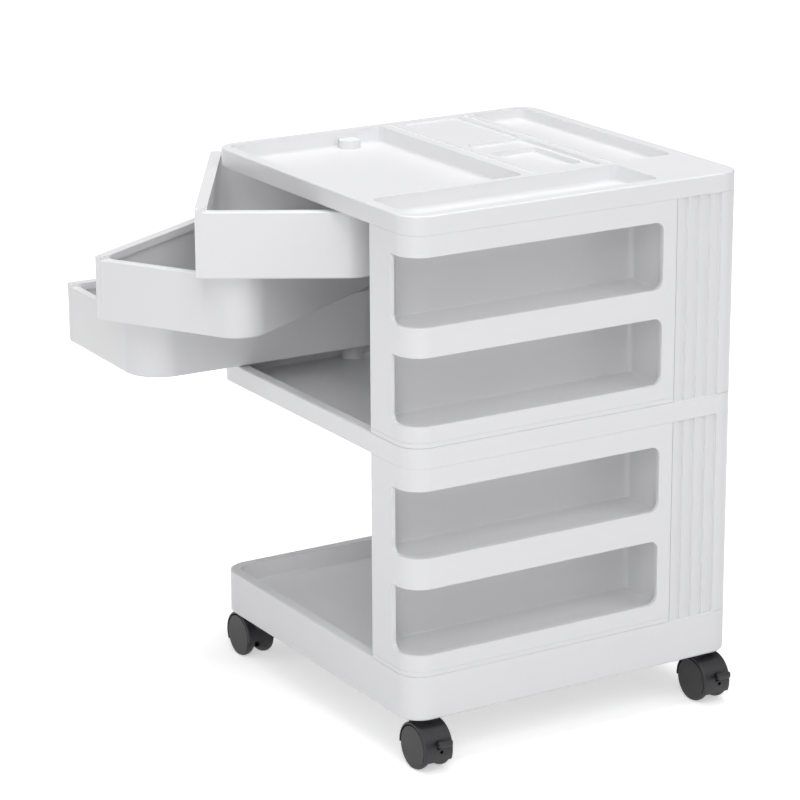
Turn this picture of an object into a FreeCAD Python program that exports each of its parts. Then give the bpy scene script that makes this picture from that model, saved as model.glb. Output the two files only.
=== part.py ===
import FreeCAD, Part
import math
import os

# Rolling storage organizer in millimetres, +Z up.
# The origin is the centre of the base tray's underside, where its two main ribs cross.
# +X runs along the side with the pocket shelves, -X is the side the drawers face.

# Overall plan
width = 410.0
depth = 410.0
corner_radius = 26.0

# Heights of the storeys and tray rims, from the underside up
base_rim_height = 49.0
lower_storey = 224.0
middle_rim_height = 22.0
top_rim_height = 20.0

# Moulded walls
wall = 3.0
rim_width = 12.0
edge_round = 1.4
base_foot_ease = 3.0
slip = 0.4
overrun = 5.0
least_edge = 0.01

# Base tray
base_floor_height = 25.0
rib_wall = 3.0
boss_radius = 14.0
web_length = 60.0

# Pocket units
pocket_depth = 78.0
side_panel_width = 86.0
unit_gap = 0.8
window_height = 72.0
window_edge_round = 10.0
window_end_gap = 16.5
window_wrap = 37.0
post_wall = 4.5
sill_height = 6.0
upper_header = 22.2
upper_band = 30.8
lower_header = 24.0
lower_band = 33.0
bead_height = 5.0
bead_depth = 0.6

# Fluted side units
drawer_bay_gap = 12.5
flute_depth = 1.6
flute_count = 4
flute_margin = 2.4
bin_sill = 34.0
bin_header = 24.0
bin_end_margin = 48.0
bin_edge_round = 18.0

# Drawers
drawer_inset = 5.0
drawer_plate = 6.0
drawer_wall = 4.0
drawer_floor = 3.0
drawer_rim_width = 9.0
drawer_rim_height = 4.0
drawer_rim_plate = 6.5
drawer_span = 296.0
drawer_depth = 189.5
drawer_end_inset = 3.0
drawer_heights = (68.8, 70.8, 75.0)
drawer_lift = 1.2
drawer_head_gap = 0.8
plate_rise = 4.0
plate_overhang = 0.5
plate_corner_round = 1.5
plate_foot_round = 4.0
drawer_inner_round = 42.0
drawer_back_round = 24.0
drawer_end_round = 18.0
drawer_foot_ease = 2.5
grip_block = 9.0
opening_angles = (91.5, 60.0, 31.3)

# Rod that the drawers turn on
rod_radius = 6.0
rod_inset_x = 35.5
rod_inset_y = 19.0
rod_fit = 0.05
hub_radius = 13.0
hub_gap = 0.3
rod_top_reach = 9.0
seat_radius = 12.0

# Top tray compartments, from the right and back edges inwards and from the front edge back
top_skin = 3.0
compartment_round = 9.0
long_end_margin = 17.0
long_width = 68.0
right_ridge = 21.0
gadget_width = 73.0
left_ridge = 28.0
back_margin = 13.0
strip_end_margin = 98.0
strip_front_margin = 15.0
strip_width = 80.0
strip_wall = 9.0
deep = 17.0
gadget_deep = 4.0
pin_deep = 10.0
pin_side_step = 6.0
pin_width = 62.0
pin_front_step = 33.0
pin_length = 92.0
platform_step = 34.0
platform_drop = 2.0
long_deep = 12.0
ridge_groove = 3.0
ridge_groove_depth = 1.6

# Casters
caster_height = 56.0
caster_side_inset = 27.0
caster_end_inset = 31.0
caster_trail = 16.0
caster_width = 34.0
wheel_radius = 24.0
wheel_width = 13.0
wheel_clear = 0.5
hood_radius = 27.0
hood_drop = 11.0
hood_front_low = 18.0
web_drop = 11.0
axle_radius = 3.0
axle_fit = 0.05
stem_radius = 5.5
stem_fit = 0.05
stem_top = 19.0
stem_floor_drop = 0.5
collar_radius = 9.0
collar_height = 2.0
swivel_gap = 0.3
neck_radius = 9.5
sleeve_wall = 1.5

# Brake lever, pin place counted from the wheel axle
lever_root_width = 5.0
lever_length = 18.0
lever_tab_end = 12.0
lever_tab_depth = 5.5
lever_tab_height = 7.0
lever_thick = 4.0
lever_eye_wall = 1.0
lever_slack = 0.4
lever_swing = 20.0
lever_pin_y = -17.0
lever_pin_z = 10.0
lever_pin_radius = 1.5
lever_pin_fit = 0.05

# Levels
upper_storey = sum(drawer_lift + height for height in drawer_heights) + drawer_head_gap
base_rim_top = base_rim_height
lower_top = base_rim_top + lower_storey
middle_rim_top = lower_top + middle_rim_height
upper_top = middle_rim_top + upper_storey
top_rim_top = upper_top + top_rim_height

# Plan limits
left = -width / 2
right = width / 2
front = -depth / 2
back = depth / 2
pocket_length = width - side_panel_width
flute_pitch = (side_panel_width - corner_radius - flute_margin) / flute_count
drawer_inner = left + drawer_inset + drawer_depth
side_inner = drawer_inner + drawer_bay_gap
rod_x = drawer_inner - rod_inset_x
drawer_back = back - drawer_end_inset
rod_bottom = lower_top + wall
rod_top = upper_top + rod_top_reach
rod_y = drawer_back - rod_inset_y
caster_x = width / 2 - caster_side_inset
caster_y = depth / 2 - caster_end_inset

os.makedirs("parts", exist_ok=True)


def vec(x, y, z=0.0):
    return FreeCAD.Vector(x, y, z)


def save(name, *solids):
    """Write one node, as one solid or a group of separate ones."""
    shape = solids[0] if len(solids) == 1 else Part.makeCompound(list(solids))
    shape.exportStep("parts/" + name + ".step")


def fuse(first, *others):
    return first.multiFuse(list(others)).removeSplitter()


def outline(points, z):
    """Closed wire through (x, y, radius) corners, with each corner rounded by its radius."""
    count = len(points)
    stations = []
    for index, (x, y, radius) in enumerate(points):
        here = vec(x, y, z)
        before = vec(*points[index - 1][:2], z) - here
        after = vec(*points[(index + 1) % count][:2], z) - here
        before.normalize()
        after.normalize()
        if radius <= 0:
            stations.append((here, None, here))
            continue
        half = before.getAngle(after) / 2
        reach = radius / math.tan(half)
        bisector = before + after
        bisector.normalize()
        middle = here + bisector * (radius / math.sin(half) - radius)
        stations.append((here + before * reach, middle, here + after * reach))
    edges = []
    for index, (start, middle, end) in enumerate(stations):
        if middle is not None:
            edges.append(Part.Arc(start, middle, end).toShape())
        following = stations[(index + 1) % count][0]
        if (following - end).Length > least_edge:
            edges.append(Part.LineSegment(end, following).toShape())
    return Part.Wire(edges)


def prism(points, low, high):
    return Part.Face(outline(points, low)).extrude(vec(0, 0, high - low))


def rect(x0, y0, x1, y1, radius=0.0):
    return [(x0, y0, radius), (x1, y0, radius), (x1, y1, radius), (x0, y1, radius)]


def box(x0, y0, z0, x1, y1, z1):
    return Part.makeBox(x1 - x0, y1 - y0, z1 - z0, vec(x0, y0, z0))


def plan(inset, low, high):
    """Rounded square of the trolley's plan, drawn in by an inset."""
    radius = max(corner_radius - inset, wall)
    return prism(rect(left + inset, front + inset, right - inset, back - inset, radius), low, high)


def cylinder(x, y, low, high, radius):
    return Part.makeCylinder(radius, high - low, vec(x, y, low))


def cylinder_x(x0, x1, y, z, radius):
    return Part.makeCylinder(radius, x1 - x0, vec(x0, y, z), vec(1, 0, 0))


def eased_ends(solid, low, high, low_ease, high_ease):
    """Bevel the outer edges that lie in the solid's bottom and top planes."""
    for level, ease in ((low, low_ease), (high, high_ease)):
        if ease <= 0:
            continue
        edges = []
        for edge in solid.Edges:
            box_of_edge = edge.BoundBox
            if abs(box_of_edge.ZMin - level) < bead_depth and abs(box_of_edge.ZMax - level) < bead_depth:
                edges.append(edge)
        solid = solid.makeChamfer(ease, edges)
    return solid


caster_places = {"front_left": (-caster_x, -caster_y, -1),
                 "front_right": (caster_x, -caster_y, -1),
                 "back_left": (-caster_x, caster_y, 1),
                 "back_right": (caster_x, caster_y, 1)}


# Base tray: skirt with a hollow rim, raised floor, cross ribs and caster bosses below
def make_base_tray():
    tray = eased_ends(plan(0, 0, base_rim_top), 0, base_rim_top, base_foot_ease, edge_round)
    floor_top = base_floor_height + wall
    tray = tray.cut(plan(rim_width, floor_top, base_rim_top + overrun))
    tray = tray.cut(plan(wall, -overrun, base_floor_height))
    channel = plan(wall, base_floor_height, base_rim_top - wall)
    channel = channel.cut(plan(rim_width - wall, base_floor_height - overrun, base_rim_top))
    tray = tray.cut(channel)
    ribs = [box(left + wall / 2, -rib_wall / 2, 0, right - wall / 2, rib_wall / 2, base_floor_height),
            box(-rib_wall / 2, front + wall / 2, 0, rib_wall / 2, back - wall / 2, base_floor_height)]
    for x, y, _ in caster_places.values():
        ribs.append(cylinder(x, y, 0, floor_top, boss_radius))
        inward_x = -math.copysign(web_length, x)
        inward_y = -math.copysign(web_length, y)
        ribs.append(box(min(x, x + inward_x), y - rib_wall / 2, 0,
                        max(x, x + inward_x), y + rib_wall / 2, base_floor_height + wall / 2))
        ribs.append(box(x - rib_wall / 2, min(y, y + inward_y), 0,
                        x + rib_wall / 2, max(y, y + inward_y), base_floor_height + wall / 2))
    tray = fuse(tray, *ribs)
    for x, y, _ in caster_places.values():
        tray = tray.cut(cylinder(x, y, -overrun, stem_top + wall / 2, sleeve_radius + stem_fit))
    return tray


# Middle tray: shallow rim with its floor at the bottom and the seat of the drawer rod
def make_middle_tray():
    tray = eased_ends(plan(0, lower_top, middle_rim_top), lower_top, middle_rim_top,
                        0, edge_round)
    floor_top = lower_top + wall
    tray = tray.cut(plan(rim_width, floor_top, middle_rim_top + overrun))
    channel = plan(wall, lower_top - overrun, middle_rim_top - wall)
    channel = channel.cut(plan(rim_width - wall, lower_top - overrun * 2, middle_rim_top))
    tray = tray.cut(channel)
    seat = cylinder(rod_x, rod_y, lower_top, middle_rim_top, seat_radius)
    tray = fuse(tray, seat)
    return tray.cut(cylinder(rod_x, rod_y, floor_top, middle_rim_top + overrun, rod_radius + rod_fit))


# Top tray: rim and compartments sunk from above, hollowed from below under the raised parts
def make_top_tray():
    tray = eased_ends(plan(0, upper_top, top_rim_top), upper_top, top_rim_top,
                        0, edge_round)
    limit = top_rim_top + overrun
    long_right = right - long_end_margin
    long_left = long_right - long_width
    gadget_right = long_left - right_ridge
    gadget_left = gadget_right - gadget_width
    notebook_right = gadget_left - left_ridge
    strip_right = right - strip_end_margin
    strip_front = front + strip_front_margin
    strip_back = strip_front + strip_width
    near = strip_back + strip_wall
    far = back - back_margin
    pin_left = gadget_left + pin_side_step
    pin_front = near + pin_front_step
    pin_back = pin_front + pin_length
    platform_front = pin_back + platform_step
    notebook = rect(left + rim_width, near, notebook_right, far, compartment_round)
    strip = rect(left + rim_width, strip_front, strip_right, strip_back, compartment_round)
    gadget = rect(gadget_left, near, gadget_right, far, compartment_round)
    pins = rect(pin_left, pin_front, pin_left + pin_width, pin_back, compartment_round / 2)
    platform = rect(gadget_left, platform_front, gadget_right, far, compartment_round)
    long_box = rect(long_left, near, long_right, far, compartment_round)
    cuts = [prism(notebook, top_rim_top - deep, limit),
            prism(strip, top_rim_top - deep, limit),
            prism(gadget, top_rim_top - gadget_deep, limit).cut(
                prism(platform, upper_top, top_rim_top - platform_drop)),
            prism(pins, top_rim_top - pin_deep, limit),
            prism(long_box, top_rim_top - long_deep, limit)]
    for middle in ((notebook_right + gadget_left) / 2, (gadget_right + long_left) / 2):
        cuts.append(box(middle - ridge_groove / 2, near, top_rim_top - ridge_groove_depth,
                        middle + ridge_groove / 2, far, limit))
    for solid in cuts:
        tray = tray.cut(solid)
    under = upper_top - overrun
    hollows = [rect(gadget_left, platform_front, gadget_right, far - wall, compartment_round),
               rect(strip_right + wall, front + rim_width, right - rim_width, near - wall,
                    compartment_round)]
    tops = [top_rim_top - gadget_deep - top_skin, top_rim_top - top_skin]
    for points, level in zip(hollows, tops):
        tray = tray.cut(prism(points, under, level))
    tray = fuse(tray, cylinder(rod_x, rod_y, upper_top, rod_top + wall, seat_radius))
    tray = tray.cut(cylinder(rod_x, rod_y, under, rod_top, rod_radius + rod_fit))
    return tray


# Window that wraps round the near corner: rounded on the far end and at the foot of the post
def pocket_window(sill, head):
    reach = pocket_depth
    far_x = left + pocket_length - window_end_gap
    corners = [(left - reach, sill, 0), (far_x, sill, window_edge_round),
               (far_x, head, window_edge_round), (left - reach, head, 0)]
    face = outline([(x, z, radius) for x, z, radius in corners], 0)
    along_y = Part.Face(face).extrude(vec(0, 0, reach * 2))
    along_y.rotate(vec(0, 0), vec(1, 0, 0), 90)
    along_y.translate(vec(0, front + reach, 0))
    near_y = front + window_wrap
    corners = [(front - reach, sill, 0), (near_y, sill, window_edge_round),
               (near_y, head, wall / 2), (front - reach, head, 0)]
    face = outline([(y, z, radius) for y, z, radius in corners], 0)
    along_x = Part.Face(face).extrude(vec(0, 0, width * 2))
    along_x.rotate(vec(0, 0), vec(1, 0, 0), 90)
    along_x.rotate(vec(0, 0), vec(0, 0, 1), 90)
    along_x.translate(vec(-width, 0, 0))
    return along_y.common(along_x)


def pocket_plan(inset, low, high):
    """Plan of a pocket unit: it follows the trolley's rounded near corner."""
    radius = max(corner_radius - inset, wall)
    far = left + pocket_length - inset
    rear = front + pocket_depth - inset
    points = [(left + inset, front + inset, radius), (far, front + inset, 0),
              (far, rear, 0), (left + inset, rear, edge_round)]
    return prism(points, low, high)


# Pocket unit: one shell with two shelves and two windows, and a spigot that drops into the tray
def make_pocket_unit(low, high, tray_floor, header, band):
    shell = pocket_plan(0, low, high)
    spigot_inset = rim_width + slip
    spigot = prism([(left + spigot_inset, front + spigot_inset, corner_radius - rim_width),
                    (left + pocket_length, front + spigot_inset, 0),
                    (left + pocket_length, front + pocket_depth, 0),
                    (left + spigot_inset, front + pocket_depth, 0)], tray_floor, low + wall)
    upper_head = high - header
    upper_sill = upper_head - window_height
    lower_head = upper_sill - band
    lower_sill = lower_head - window_height
    upper_shelf = upper_sill - sill_height
    lower_shelf = lower_sill - sill_height
    body = fuse(shell, spigot)
    for floor, ceiling in ((upper_shelf, high - wall), (lower_shelf, upper_shelf - wall)):
        body = body.cut(pocket_plan(post_wall, floor, ceiling))
    below = prism([(left + spigot_inset + wall, front + spigot_inset + wall, wall),
                   (left + pocket_length - wall, front + spigot_inset + wall, 0),
                   (left + pocket_length - wall, front + pocket_depth - wall, 0),
                   (left + spigot_inset + wall, front + pocket_depth - wall, 0)],
                  tray_floor - overrun, lower_shelf - wall)
    body = body.cut(below)
    for sill, head in ((upper_sill, upper_head), (lower_sill, lower_head)):
        body = body.cut(pocket_window(sill, head))
    groove_plan = pocket_plan(-overrun, low + bead_height, low + bead_height + bead_depth)
    groove = groove_plan.cut(pocket_plan(bead_depth, low, high))
    groove = groove.cut(box(left + pocket_length - edge_round, front - overrun * 2, low,
                            right, back, high))
    return body.cut(groove)


# Fluted front wall: each flute starts proud and slopes in until the next riser
def flute_cuts(low, high):
    cuts = []
    for index in range(flute_count):
        x = left + pocket_length + index * flute_pitch
        points = [(x, front - overrun, 0), (x + flute_pitch, front - overrun, 0),
                  (x + flute_pitch, front + flute_depth, 0), (x, front, 0)]
        cuts.append(prism(points, low, high))
    return cuts


def side_points(inset, radius):
    """L-shaped plan of a side unit: behind the pockets and round the two far corners."""
    start = left + pocket_length + unit_gap
    rear_line = front + pocket_depth + unit_gap
    inner = side_inner
    return [(start + inset, front + inset, 0), (right - inset, front + inset, radius),
            (right - inset, back - inset, radius), (inner + inset, back - inset, edge_round),
            (inner + inset, rear_line + inset, 0), (start + inset, rear_line + inset, 0)]


# Side unit: tall shell with a spigot below, one deep bin and its window on the right-hand side
def make_side_unit(low, high, tray_floor):
    shell = prism(side_points(0, corner_radius), low, high)
    spigot_inset = rim_width + slip
    start = left + pocket_length + unit_gap
    rear_line = front + pocket_depth + unit_gap
    inner = side_inner
    round_in = corner_radius - rim_width
    spigot = prism([(start, front + spigot_inset, 0), (right - spigot_inset, front + spigot_inset, round_in),
                    (right - spigot_inset, back - spigot_inset, round_in),
                    (inner, back - spigot_inset, 0), (inner, rear_line, 0), (start, rear_line, 0)],
                   tray_floor, low + wall)
    body = fuse(shell, spigot)
    for cut in flute_cuts(low, high):
        body = body.cut(cut)
    thick = wall + flute_depth
    hollow_points = [(start + wall, front + thick, 0), (right - wall, front + thick, corner_radius - wall),
                     (right - wall, back - wall, corner_radius - wall), (inner + wall, back - wall, 0),
                     (inner + wall, rear_line + wall, 0), (start + wall, rear_line + wall, 0)]
    floor = low + bin_sill - sill_height
    body = body.cut(prism(hollow_points, floor, high - wall))
    below_inset = spigot_inset + wall
    body = body.cut(prism([(start + wall, front + below_inset, 0),
                           (right - below_inset, front + below_inset, wall),
                           (right - below_inset, back - below_inset, wall),
                           (inner + wall, back - below_inset, 0),
                           (inner + wall, rear_line + wall, 0),
                           (start + wall, rear_line + wall, 0)], tray_floor - overrun, floor - wall))
    corners = rect(front + bin_end_margin, low + bin_sill, back - bin_end_margin, high - bin_header,
                   bin_edge_round)
    face = Part.Face(outline(corners, 0))
    window = face.extrude(vec(0, 0, rim_width * 2))
    window.rotate(vec(0, 0), vec(1, 0, 0), 90)
    window.rotate(vec(0, 0), vec(0, 0, 1), 90)
    window.translate(vec(right - rim_width, 0, 0))
    return body.cut(window)


# Swivel drawer, drawn closed: box with a turned-in rim, a thick front plate, a grip end and
# a hub for the rod
def make_drawer(base, top):
    plate_left = left + drawer_inset
    box_left = plate_left + drawer_plate
    inner = drawer_inner
    near = drawer_back - drawer_span
    side_top = top - plate_rise
    corners = [(plate_left, near, 0), (inner, near, drawer_inner_round),
               (inner, drawer_back, drawer_back_round), (plate_left, drawer_back, drawer_end_round)]
    tub = eased_ends(prism(corners, base, side_top), base, side_top, drawer_foot_ease, 0)
    hollow = [(box_left + drawer_wall, near + drawer_wall, wall),
              (inner - drawer_wall, near + drawer_wall, drawer_inner_round - drawer_wall),
              (inner - drawer_wall, drawer_back - drawer_wall, drawer_back_round - drawer_wall),
              (box_left + drawer_wall, drawer_back - drawer_wall, drawer_end_round - drawer_wall)]
    tub = tub.cut(prism(hollow, base + drawer_floor, side_top - drawer_rim_height))
    mouth = [(box_left + drawer_rim_plate, near + drawer_rim_width, wall),
             (inner - drawer_rim_width, near + drawer_rim_width,
              drawer_inner_round - drawer_rim_width),
             (inner - drawer_rim_width, drawer_back - drawer_rim_width,
              drawer_back_round - drawer_rim_width),
             (box_left + drawer_rim_plate, drawer_back - drawer_rim_width,
              drawer_end_round - drawer_rim_width)]
    tub = tub.cut(prism(mouth, side_top - drawer_rim_height - overrun, side_top + overrun))
    plate_end = drawer_back - drawer_end_round
    plate_near = near - plate_overhang
    profile = [(plate_near, base, plate_foot_round), (plate_end, base, 0),
               (plate_end, top, plate_corner_round), (plate_near, top, plate_corner_round)]
    plate = Part.Face(outline(profile, 0)).extrude(vec(0, 0, drawer_plate))
    plate.rotate(vec(0, 0), vec(1, 0, 0), 90)
    plate.rotate(vec(0, 0), vec(0, 0, 1), 90)
    plate.translate(vec(plate_left, 0, 0))
    band = prism(rect(box_left - wall, near + drawer_wall / 2, box_left + drawer_wall,
                      plate_end, 0), base, top)
    grip = prism(rect(box_left - wall, near, box_left + grip_block, near + grip_block, 0), base, top)
    hub = cylinder(rod_x, rod_y, base - drawer_lift + hub_gap, top, hub_radius)
    tie = box(rod_x - hub_radius / 2, rod_y, base, rod_x + hub_radius / 2,
              drawer_back - drawer_wall / 2, side_top)
    drawer = fuse(tub, plate, band, grip, hub, tie)
    return drawer.cut(cylinder(rod_x, rod_y, base - overrun, top + overrun, rod_radius + rod_fit))


def swung(solid, angle):
    """Turn a closed drawer open about the rod; it opens clockwise seen from above."""
    turned = solid.copy()
    turned.rotate(vec(rod_x, rod_y), vec(0, 0, 1), -angle)
    return turned


# Caster levels, counted from the wheel axle
half_caster = caster_width / 2
web_half = half_caster - wheel_width
wheel_pocket = wheel_radius + wheel_clear
tray_level = caster_height - wheel_radius
collar_low = tray_level - collar_height
neck_top = collar_low - swivel_gap
stem_low = wheel_pocket - stem_floor_drop
sleeve_radius = stem_radius + stem_fit + sleeve_wall


def side_prism(points, x0, x1):
    """Solid with a (y, z) outline, between two places along X."""
    solid = Part.Face(outline(points, 0)).extrude(vec(0, 0, x1 - x0))
    solid.rotate(vec(0, 0), vec(0, 0, 1), 90)
    solid.rotate(vec(0, 0), vec(0, 1, 0), 90)
    solid.translate(vec(x0, 0, 0))
    return solid


# Housing: round hood over both wheels, web between them and a neck on the stem
def make_housing(braked):
    hood = cylinder_x(-half_caster, half_caster, 0, 0, hood_radius)
    reach = hood_radius + overrun
    below = [(-reach, -hood_drop, 0), (-reach, -reach, 0), (reach, -reach, 0), (reach, 0, 0),
             (hood_front_low, -axle_radius, 0), (axle_radius, -web_drop, wall)]
    hood = hood.cut(side_prism(below, -caster_width, caster_width))
    neck = cylinder(0, caster_trail, 0, neck_top, neck_radius)
    housing = fuse(hood, neck)
    for side in (-1, 1):
        near, far = sorted((side * web_half, side * (half_caster + overrun)))
        housing = housing.cut(cylinder_x(near, far, 0, 0, wheel_pocket))
    below_neck = box(-reach, caster_trail - neck_radius, -reach, reach, reach, 0)
    housing = housing.cut(below_neck.cut(cylinder_x(-reach, reach, 0, 0, hood_radius)))
    housing = housing.cut(cylinder(0, caster_trail, stem_low, tray_level, stem_radius + stem_fit))
    housing = housing.cut(cylinder_x(-half_caster, half_caster, 0, 0, axle_radius + axle_fit))
    if braked:
        sweep = lever_length * math.sin(math.radians(lever_swing))
        roof = lever_pin_z + lever_thick / 2 + lever_slack
        slot = [(-reach, lever_pin_z - lever_thick / 2 - sweep, 0),
                (lever_pin_y, lever_pin_z - lever_thick, 0), (lever_pin_y, roof, 0), (-reach, roof, 0)]
        half_root = lever_root_width / 2 + lever_slack
        housing = housing.cut(side_prism(slot, -half_root, half_root))
        housing = housing.cut(cylinder_x(-half_root, half_root, lever_pin_y, lever_pin_z,
                                         lever_thick / 2 + lever_eye_wall + lever_slack))
        housing = housing.cut(cylinder_x(-web_half, web_half, lever_pin_y, lever_pin_z,
                                         lever_pin_radius))
    return housing


def make_wheel(side):
    """One wheel: flat outer face, blind bore from the inner side."""
    inner = web_half + wheel_clear
    wheel = cylinder_x(inner, half_caster, 0, 0, wheel_radius)
    wheel = wheel.cut(cylinder_x(inner - overrun, half_caster - wall, 0, 0, axle_radius + axle_fit))
    if side < 0:
        wheel = wheel.mirror(vec(0, 0), vec(1, 0, 0))
    return wheel


def make_axle():
    reach = half_caster - wall - swivel_gap
    return cylinder_x(-reach, reach, 0, 0, axle_radius)


def make_stem():
    """Steel stem held in the tray; the housing swivels on its lower end."""
    top = tray_level + stem_top
    shank = cylinder(0, caster_trail, stem_low + swivel_gap, top, stem_radius)
    return fuse(shank, cylinder(0, caster_trail, collar_low, tray_level, collar_radius))


def make_sleeve():
    """Plastic tube pressed into the boss; it grips the stem."""
    outer = cylinder(0, caster_trail, tray_level, tray_level + stem_top, sleeve_radius)
    return outer.cut(cylinder(0, caster_trail, tray_level - overrun, tray_level + stem_top + overrun,
                              stem_radius + stem_fit))


def make_lever():
    """Brake lever: thumb tab outside the hood and to one side, root and eye inside the web."""
    tab_near = lever_pin_y - lever_length
    tab_far = tab_near + lever_tab_depth
    half_root = lever_root_width / 2
    low = lever_pin_z - lever_thick / 2
    high = lever_pin_z + lever_thick / 2
    tab_low = lever_pin_z - lever_tab_height / 2
    tab_high = lever_pin_z + lever_tab_height / 2
    tab_round = lever_tab_height / 4
    tab = side_prism([(tab_near, tab_low, tab_round), (tab_far, tab_low, 0),
                      (tab_far, tab_high, 0), (tab_near, tab_high, tab_round)],
                     -half_root, lever_tab_end)
    root = side_prism([(tab_far - lever_slack, low, 0), (lever_pin_y, low, 0), (lever_pin_y, high, 0),
                       (tab_far - lever_slack, high, 0)], -half_root, half_root)
    eye = cylinder_x(-half_root, half_root, lever_pin_y, lever_pin_z,
                     lever_thick / 2 + lever_eye_wall)
    lever = fuse(tab, root, eye)
    return lever.cut(cylinder_x(-lever_root_width, lever_root_width, lever_pin_y, lever_pin_z,
                                lever_pin_radius + lever_pin_fit))


def make_lever_pin():
    return cylinder_x(-web_half, web_half, lever_pin_y, lever_pin_z, lever_pin_radius)


def place_caster(solid, x, y, facing):
    """Set a caster part under its boss; facing -1 trails towards -Y, 1 towards +Y."""
    placed = solid.copy()
    placed.translate(vec(0, -caster_trail, -tray_level))
    if facing > 0:
        placed.rotate(vec(0, 0), vec(0, 0, 1), 180)
    placed.translate(vec(x, y, 0))
    return placed


# Frame of the trolley
save("base_tray", make_base_tray())
save("middle_tray", make_middle_tray())
save("top_tray", make_top_tray())
base_floor_top = base_floor_height + wall
middle_floor_top = lower_top + wall
save("lower_pocket_unit", make_pocket_unit(base_rim_top, lower_top, base_floor_top,
                                           lower_header, lower_band))
save("upper_pocket_unit", make_pocket_unit(middle_rim_top, upper_top, middle_floor_top,
                                           upper_header, upper_band))
save("lower_side_unit", make_side_unit(base_rim_top, lower_top, base_floor_top))
save("upper_side_unit", make_side_unit(middle_rim_top, upper_top, middle_floor_top))

# Rod that the drawers turn on, between its seats in the two trays
save("drawer_rod", cylinder(rod_x, rod_y, rod_bottom, rod_top, rod_radius))

# Drawers, lowest first
drawer_top = middle_rim_top
for name, height, angle in zip(("bottom", "middle", "top"), drawer_heights, opening_angles):
    base = drawer_top + drawer_lift
    drawer_top = base + height
    save("drawer_" + name, swung(make_drawer(base, drawer_top), angle))

# Casters: the two on the pocket side have brakes
sleeves = []
stems = []
for name, (x, y, facing) in caster_places.items():
    braked = facing < 0
    save("caster_housing_" + name, place_caster(make_housing(braked), x, y, facing))
    save("caster_axle_" + name, place_caster(make_axle(), x, y, facing))
    stems.append(place_caster(make_stem(), x, y, facing))
    save("caster_wheel_left_" + name, place_caster(make_wheel(-1), x, y, facing))
    save("caster_wheel_right_" + name, place_caster(make_wheel(1), x, y, facing))
    sleeves.append(place_caster(make_sleeve(), x, y, facing))
    if braked:
        save("brake_lever_" + name, place_caster(make_lever(), x, y, facing))
        save("brake_pin_" + name, place_caster(make_lever_pin(), x, y, facing))
save("caster_sleeves", *sleeves)
save("caster_stems", *stems)
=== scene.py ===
import math

import bmesh
import bpy
from mathutils import Matrix, Vector


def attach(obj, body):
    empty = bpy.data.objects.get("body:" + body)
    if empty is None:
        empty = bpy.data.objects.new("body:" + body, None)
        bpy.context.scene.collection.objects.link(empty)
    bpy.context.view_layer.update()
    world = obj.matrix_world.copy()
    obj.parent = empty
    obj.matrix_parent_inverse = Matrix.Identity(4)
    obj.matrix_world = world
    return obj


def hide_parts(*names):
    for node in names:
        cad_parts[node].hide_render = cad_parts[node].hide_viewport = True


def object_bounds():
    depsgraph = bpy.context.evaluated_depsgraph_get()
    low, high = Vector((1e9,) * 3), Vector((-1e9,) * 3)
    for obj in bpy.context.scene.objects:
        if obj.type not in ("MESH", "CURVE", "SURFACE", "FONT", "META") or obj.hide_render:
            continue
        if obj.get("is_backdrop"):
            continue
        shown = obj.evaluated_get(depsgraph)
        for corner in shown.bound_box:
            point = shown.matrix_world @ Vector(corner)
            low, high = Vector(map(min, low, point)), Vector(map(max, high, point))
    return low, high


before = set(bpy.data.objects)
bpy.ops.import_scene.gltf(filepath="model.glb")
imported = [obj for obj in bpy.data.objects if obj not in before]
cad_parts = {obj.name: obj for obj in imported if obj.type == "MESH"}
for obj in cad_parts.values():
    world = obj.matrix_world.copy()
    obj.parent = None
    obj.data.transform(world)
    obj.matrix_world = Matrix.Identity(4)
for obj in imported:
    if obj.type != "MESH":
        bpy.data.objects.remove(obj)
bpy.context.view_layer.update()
scene = bpy.context.scene
scene.view_settings.view_transform = "Standard"

# Camera: a long lens, well back from the trolley and above it, looking down at the corner
# between the pocket side and the drawer side. The turn, tilt and roll are the photograph's.
lens_length = 139.66
film_width = 36.0
sight_limit = 60.0
camera_place = (-1.7398, -2.7312, 1.2400)
camera_turn = -31.09
camera_tilt = 16.77
camera_roll = -0.29
camera_data = bpy.data.cameras.new("camera")
camera_data.sensor_width = film_width
camera_data.lens = lens_length
camera_data.clip_end = sight_limit
camera = bpy.data.objects.new("camera", camera_data)
scene.collection.objects.link(camera)
camera.matrix_world = (Matrix.Translation(camera_place)
                       @ Matrix.Rotation(math.radians(camera_turn), 4, "Z")
                       @ Matrix.Rotation(math.radians(90.0 - camera_tilt), 4, "X")
                       @ Matrix.Rotation(math.radians(camera_roll), 4, "Z"))
scene.camera = camera


# Floor: a wide plain white sheet under the wheels. It looks white to the camera and to glossy
# surfaces, the more so away from the trolley, and still takes the trolley's soft shadow.
floor_level = -0.056
floor_reach = 25.0
paper_shade = 0.92
glow_starts = 0.4
glow_full = 1.3
glow_near = 0.5
glow_far = 1.0


def node_tree(name):
    material = bpy.data.materials.new(name)
    material.use_nodes = True
    tree = material.node_tree
    tree.nodes.clear()
    return material, tree.nodes, tree.links


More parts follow.
